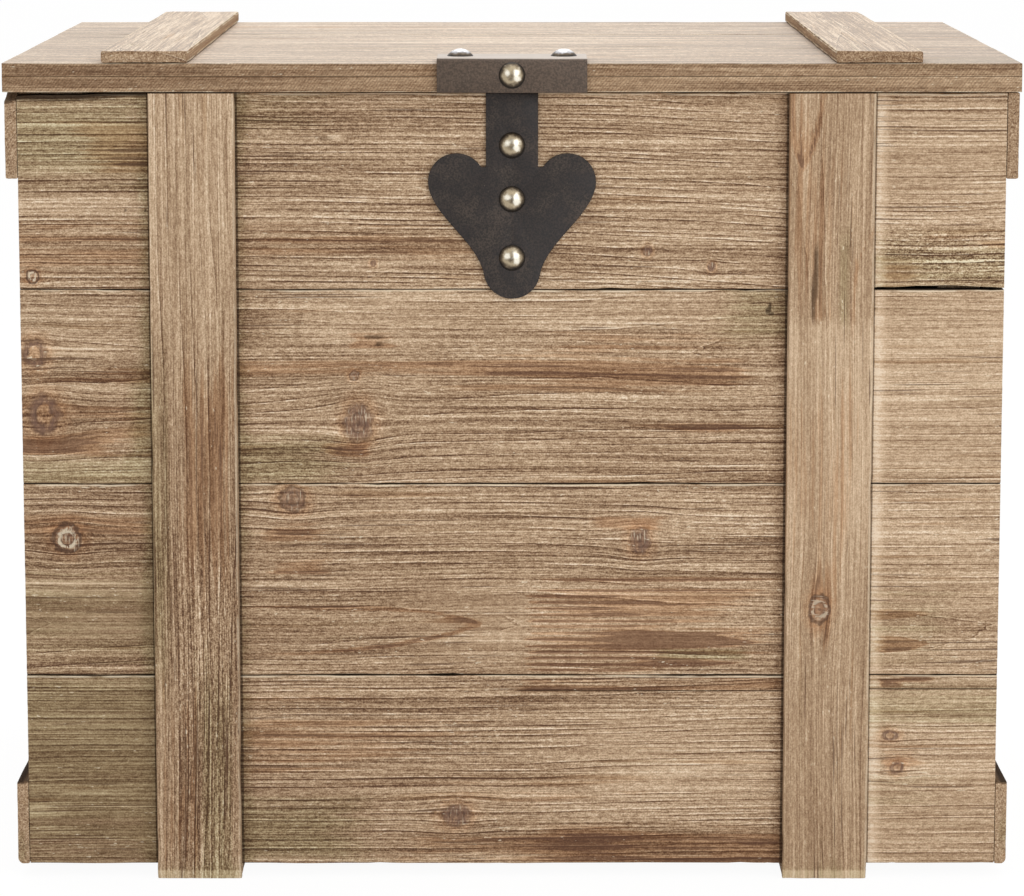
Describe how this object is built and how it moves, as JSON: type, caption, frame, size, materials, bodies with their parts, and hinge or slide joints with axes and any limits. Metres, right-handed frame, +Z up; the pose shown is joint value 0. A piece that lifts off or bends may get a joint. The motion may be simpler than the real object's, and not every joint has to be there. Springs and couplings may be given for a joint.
{
  "type": "plank trunk",
  "caption": "Rustic plank trunk of weathered softwood with nailed battens and side cleats, a framed lid on rear butt hinges and blackened iron plates at the front.",
  "frame": {"origin": "on the floor, under the middle of the trunk", "axes": "+X to the right across the front, +Y from the front to the back, +Z up"},
  "size_m": [0.574, 0.4272, 0.4793],
  "materials": {
    "wall_pine": "weathered brushed softwood, horizontal grain, greenish and grey patches",
    "batten_pine": "weathered brushed softwood, a little paler",
    "lid_pine": "pale washed softwood",
    "inner_pine": "plain sawn softwood",
    "blackened_iron": "dark brown-black forged iron, matt and speckled",
    "aged_brass": "aged pewter-brass with dark rims",
    "hinge_steel": "dull plated steel"
  },
  "bodies": {
    "box": {"front_board_1": "wall_pine", "front_board_2": "wall_pine", "front_board_3": "wall_pine", "front_board_4": "wall_pine", "back_board_1": "wall_pine", "back_board_2": "wall_pine", "back_board_3": "wall_pine", "back_board_4": "wall_pine", "left_board_1": "wall_pine", "left_board_2": "wall_pine", "left_board_3": "wall_pine", "left_board_4": "wall_pine", "right_board_1": "wall_pine", "right_board_2": "wall_pine", "right_board_3": "wall_pine", "right_board_4": "wall_pine", "floor_board_1": "inner_pine", "floor_board_2": "inner_pine", "floor_board_3": "inner_pine", "front_batten_left": "batten_pine", "back_batten_left": "batten_pine", "runner_left": "wall_pine", "left_top_cleat": "batten_pine", "left_bottom_cleat": "batten_pine", "post_front_left": "inner_pine", "post_back_left": "inner_pine", "hinge_left_box_leaf": "hinge_steel", "hinge_left_pin": "hinge_steel", "front_batten_right": "batten_pine", "back_batten_right": "batten_pine", "runner_right": "wall_pine", "right_top_cleat": "batten_pine", "right_bottom_cleat": "batten_pine", "post_front_right": "inner_pine", "post_back_right": "inner_pine", "hinge_right_box_leaf": "hinge_steel", "hinge_right_pin": "hinge_steel", "spade_plate": "blackened_iron", "spade_nails": "aged_brass", "hinge_box_screws": "hinge_steel"},
    "lid": {"lid_board_1": "lid_pine", "lid_board_2": "lid_pine", "lid_board_3": "lid_pine", "lid_rail_front": "lid_pine", "lid_rail_back": "lid_pine", "lid_rail_left": "lid_pine", "lid_rail_right": "lid_pine", "lid_batten_left": "batten_pine", "lid_batten_right": "batten_pine", "hinge_left_lid_leaf": "hinge_steel", "hinge_right_lid_leaf": "hinge_steel", "lid_bracket": "blackened_iron", "lid_bracket_nails": "aged_brass", "hinge_lid_screws": "hinge_steel"}
  },
  "joints": [
    {"name": "lid_hinge", "type": "hinge", "parent": "box", "child": "lid", "pos_m": [0, 0.204, 0.4553], "axis": [-1, 0, 0], "range_deg": [0, 101]}
  ]
}
